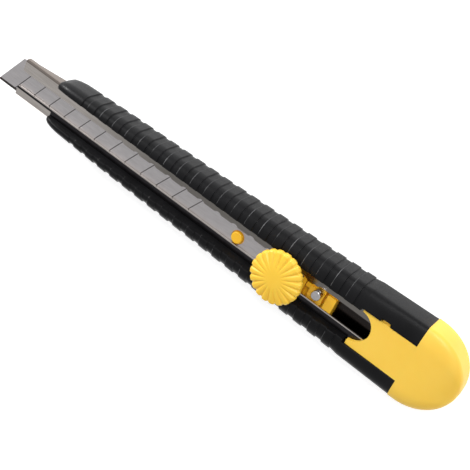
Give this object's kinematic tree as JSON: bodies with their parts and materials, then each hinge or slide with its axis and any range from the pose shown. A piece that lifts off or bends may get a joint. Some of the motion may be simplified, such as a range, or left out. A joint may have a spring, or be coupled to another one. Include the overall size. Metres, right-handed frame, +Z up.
{
  "type": "utility knife",
  "caption": "Slim snap-off utility knife with a steel blade channel, ribbed plastic grip, thumb wheel that locks the blade slider, and a pull-off end cap.",
  "frame": {"origin": "bottom centre of the whole knife's box, on the flat back it lies on", "axes": "+X along the knife from the blade tip to the end cap, +Y from the cutting edge to the blade's spine, +Z up out of the open side"},
  "size_m": [0.1362, 0.02, 0.0128],
  "materials": {
    "grip_black": "satin moulded ABS",
    "channel_steel": "rolled stainless sheet",
    "blade_steel": "ground carbon steel",
    "slider_yellow": "moulded acetal",
    "pin_steel": "polished",
    "bolt_steel": "zinc plated",
    "insert_brass": "turned",
    "wheel_yellow": "satin moulded",
    "cap_yellow": "satin moulded"
  },
  "bodies": {
    "handle": {"body_grip": "grip_black", "blade_channel": "channel_steel"},
    "carriage": {"slider": "slider_yellow", "blade": "blade_steel"},
    "detent": {"detent_arm": "slider_yellow", "detent_pin": "pin_steel"},
    "thumb_wheel": {"wheel": "wheel_yellow", "wheel_insert": "insert_brass"},
    "clamp": {"lock_bolt": "bolt_steel"},
    "cap": {"end_cap": "cap_yellow"}
  },
  "joints": [
    {"name": "slider_travel", "type": "slide", "parent": "handle", "child": "carriage", "axis": [1, 0, 0], "range_m": [-0.06, 0.01]},
    {"name": "wheel_turn", "type": "hinge", "parent": "carriage", "child": "thumb_wheel", "pos_m": [0.0216, 0, 0.01], "axis": [0, 0, 1], "range_deg": [0, 180]},
    {"name": "clamp_travel", "type": "slide", "parent": "carriage", "child": "clamp", "axis": [0, 0, 1], "range_m": [-0.0004, 0]},
    {"name": "detent_flex", "type": "hinge", "parent": "carriage", "child": "detent", "pos_m": [0.0272, 0.00064, 0.006], "axis": [0, 0, 1], "range_deg": [0, 7], "stiffness_Nm_per_rad": 0.17},
    {"name": "cap_pull", "type": "slide", "parent": "handle", "child": "cap", "axis": [1, 0, 0], "range_m": [0, 0.016]}
  ],
  "couplings": [
    {"joint": "wheel_turn", "follows": "clamp_travel", "rad_per_m": -7854}
  ]
}
